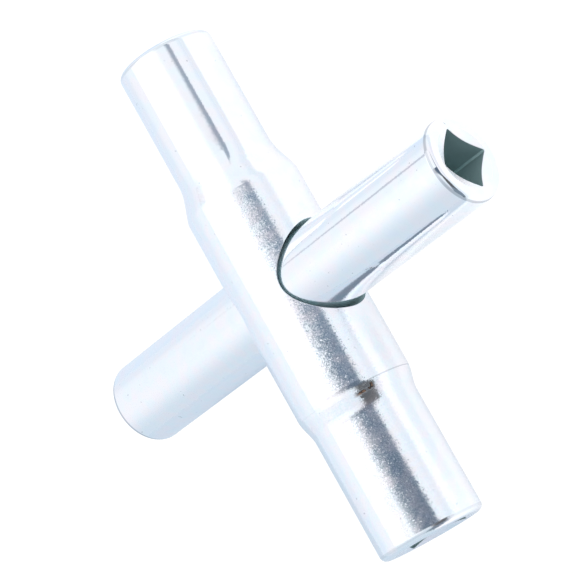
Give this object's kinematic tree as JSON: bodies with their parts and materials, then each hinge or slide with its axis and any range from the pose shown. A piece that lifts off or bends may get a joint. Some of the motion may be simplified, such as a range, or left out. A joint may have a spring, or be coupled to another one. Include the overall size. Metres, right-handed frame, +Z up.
{
  "type": "four-way utility key",
  "caption": "Cross-shaped steel key: a thick hub bar and a loose cross bar, each end a square socket of another size.",
  "frame": {"origin": "middle of the box round both bars; the hub bar's axis lies at y = 0.6 mm and z = 0, the cross bar's at x = 0.2 mm and z = 0.7 mm", "axes": "+X along the hub bar to its small end, +Y along the cross bar to its 9/32 in socket, +Z up with both bars level"},
  "size_m": [0.0786, 0.0746, 0.0175],
  "materials": {
    "hub_zinc": "bright zinc plate on turned steel, satin",
    "cross_zinc": "bright zinc plate on turned steel, smooth",
    "spring_wire": "oiled spring wire"
  },
  "bodies": {
    "hub": {"hub_bar": "hub_zinc"},
    "ring": {"retaining_ring": "spring_wire"},
    "bar": {"cross_bar": "cross_zinc"}
  },
  "joints": [
    {"name": "bar_slide", "type": "slide", "parent": "hub", "child": "ring", "axis": [0, 1, 0], "range_m": [-0.0019, 0.0031]},
    {"name": "bar_turn", "type": "hinge", "parent": "ring", "child": "bar", "pos_m": [0.0002, 0, 0.0007], "axis": [0, 1, 0], "continuous": true}
  ]
}
